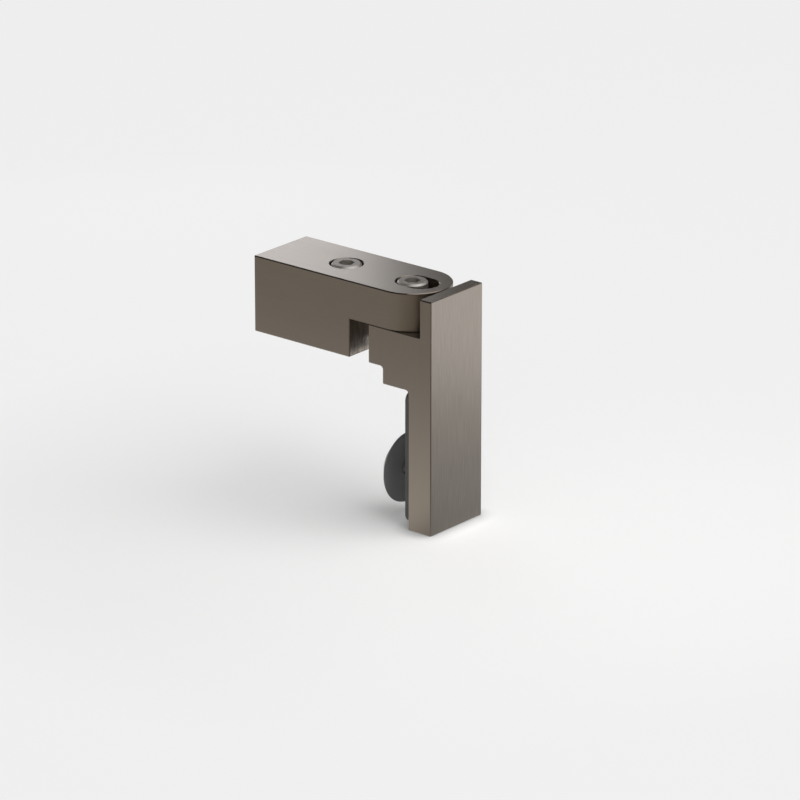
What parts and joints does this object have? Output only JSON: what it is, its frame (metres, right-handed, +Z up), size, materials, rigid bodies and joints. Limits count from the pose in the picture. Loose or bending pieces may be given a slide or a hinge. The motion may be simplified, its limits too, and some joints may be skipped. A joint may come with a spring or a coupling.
{
  "type": "stabilizer bar clamp",
  "caption": "Swivel clamp that joins a round stabilizer bar to a glass panel: stepped plate with gasket and screw-down clamp disc, and a slotted arm with a bar socket.",
  "frame": {"origin": "on the gasket's glass face, on the axis of the clamp disc's screw", "axes": "+X out of the plate's show face, away from the glass; -X along the bar arm at rest; +Z up, along the plate; +Y across the plate"},
  "size_m": [0.0629, 0.022, 0.0676],
  "materials": {
    "gunmetal": "fine brushed stainless steel with a gunmetal coating",
    "screw_steel": "turned stainless steel with a gunmetal coating",
    "rubber": "matt moulded rubber",
    "sleeve_plastic": "matt moulded nylon"
  },
  "bodies": {
    "body": {"clamp_body": "gunmetal", "glass_gasket": "rubber", "glass_sleeve": "sleeve_plastic"},
    "pivot": {"pivot_screw": "screw_steel"},
    "arm": {"swivel_arm": "gunmetal"},
    "bar_clamp": {"bar_screw": "screw_steel"},
    "jaw": {"clamp_disc": "gunmetal", "disc_pad": "rubber"},
    "jaw_screw": {"disc_screw": "screw_steel"}
  },
  "joints": [
    {"name": "arm_swivel", "type": "hinge", "parent": "body", "child": "pivot", "pos_m": [-0.0065, 0, 0.043], "axis": [0, 0, 1], "range_deg": [-90, 90]},
    {"name": "arm_slide", "type": "slide", "parent": "pivot", "child": "arm", "axis": [-1, 0, 0], "range_m": [0, 0.0033]},
    {"name": "bar_screw_press", "type": "slide", "parent": "arm", "child": "bar_clamp", "axis": [0, 0, -1], "range_m": [0, 0.0009]},
    {"name": "jaw_slide", "type": "slide", "parent": "body", "child": "jaw", "axis": [1, 0, 0], "range_m": [-0.0021, 0.0007]},
    {"name": "jaw_screw_turn", "type": "hinge", "parent": "jaw", "child": "jaw_screw", "pos_m": [0, 0, 0], "axis": [1, 0, 0], "range_deg": [-1085, 365]}
  ],
  "couplings": [
    {"joint": "jaw_screw_turn", "follows": "jaw_slide", "rad_per_m": 8976}
  ]
}
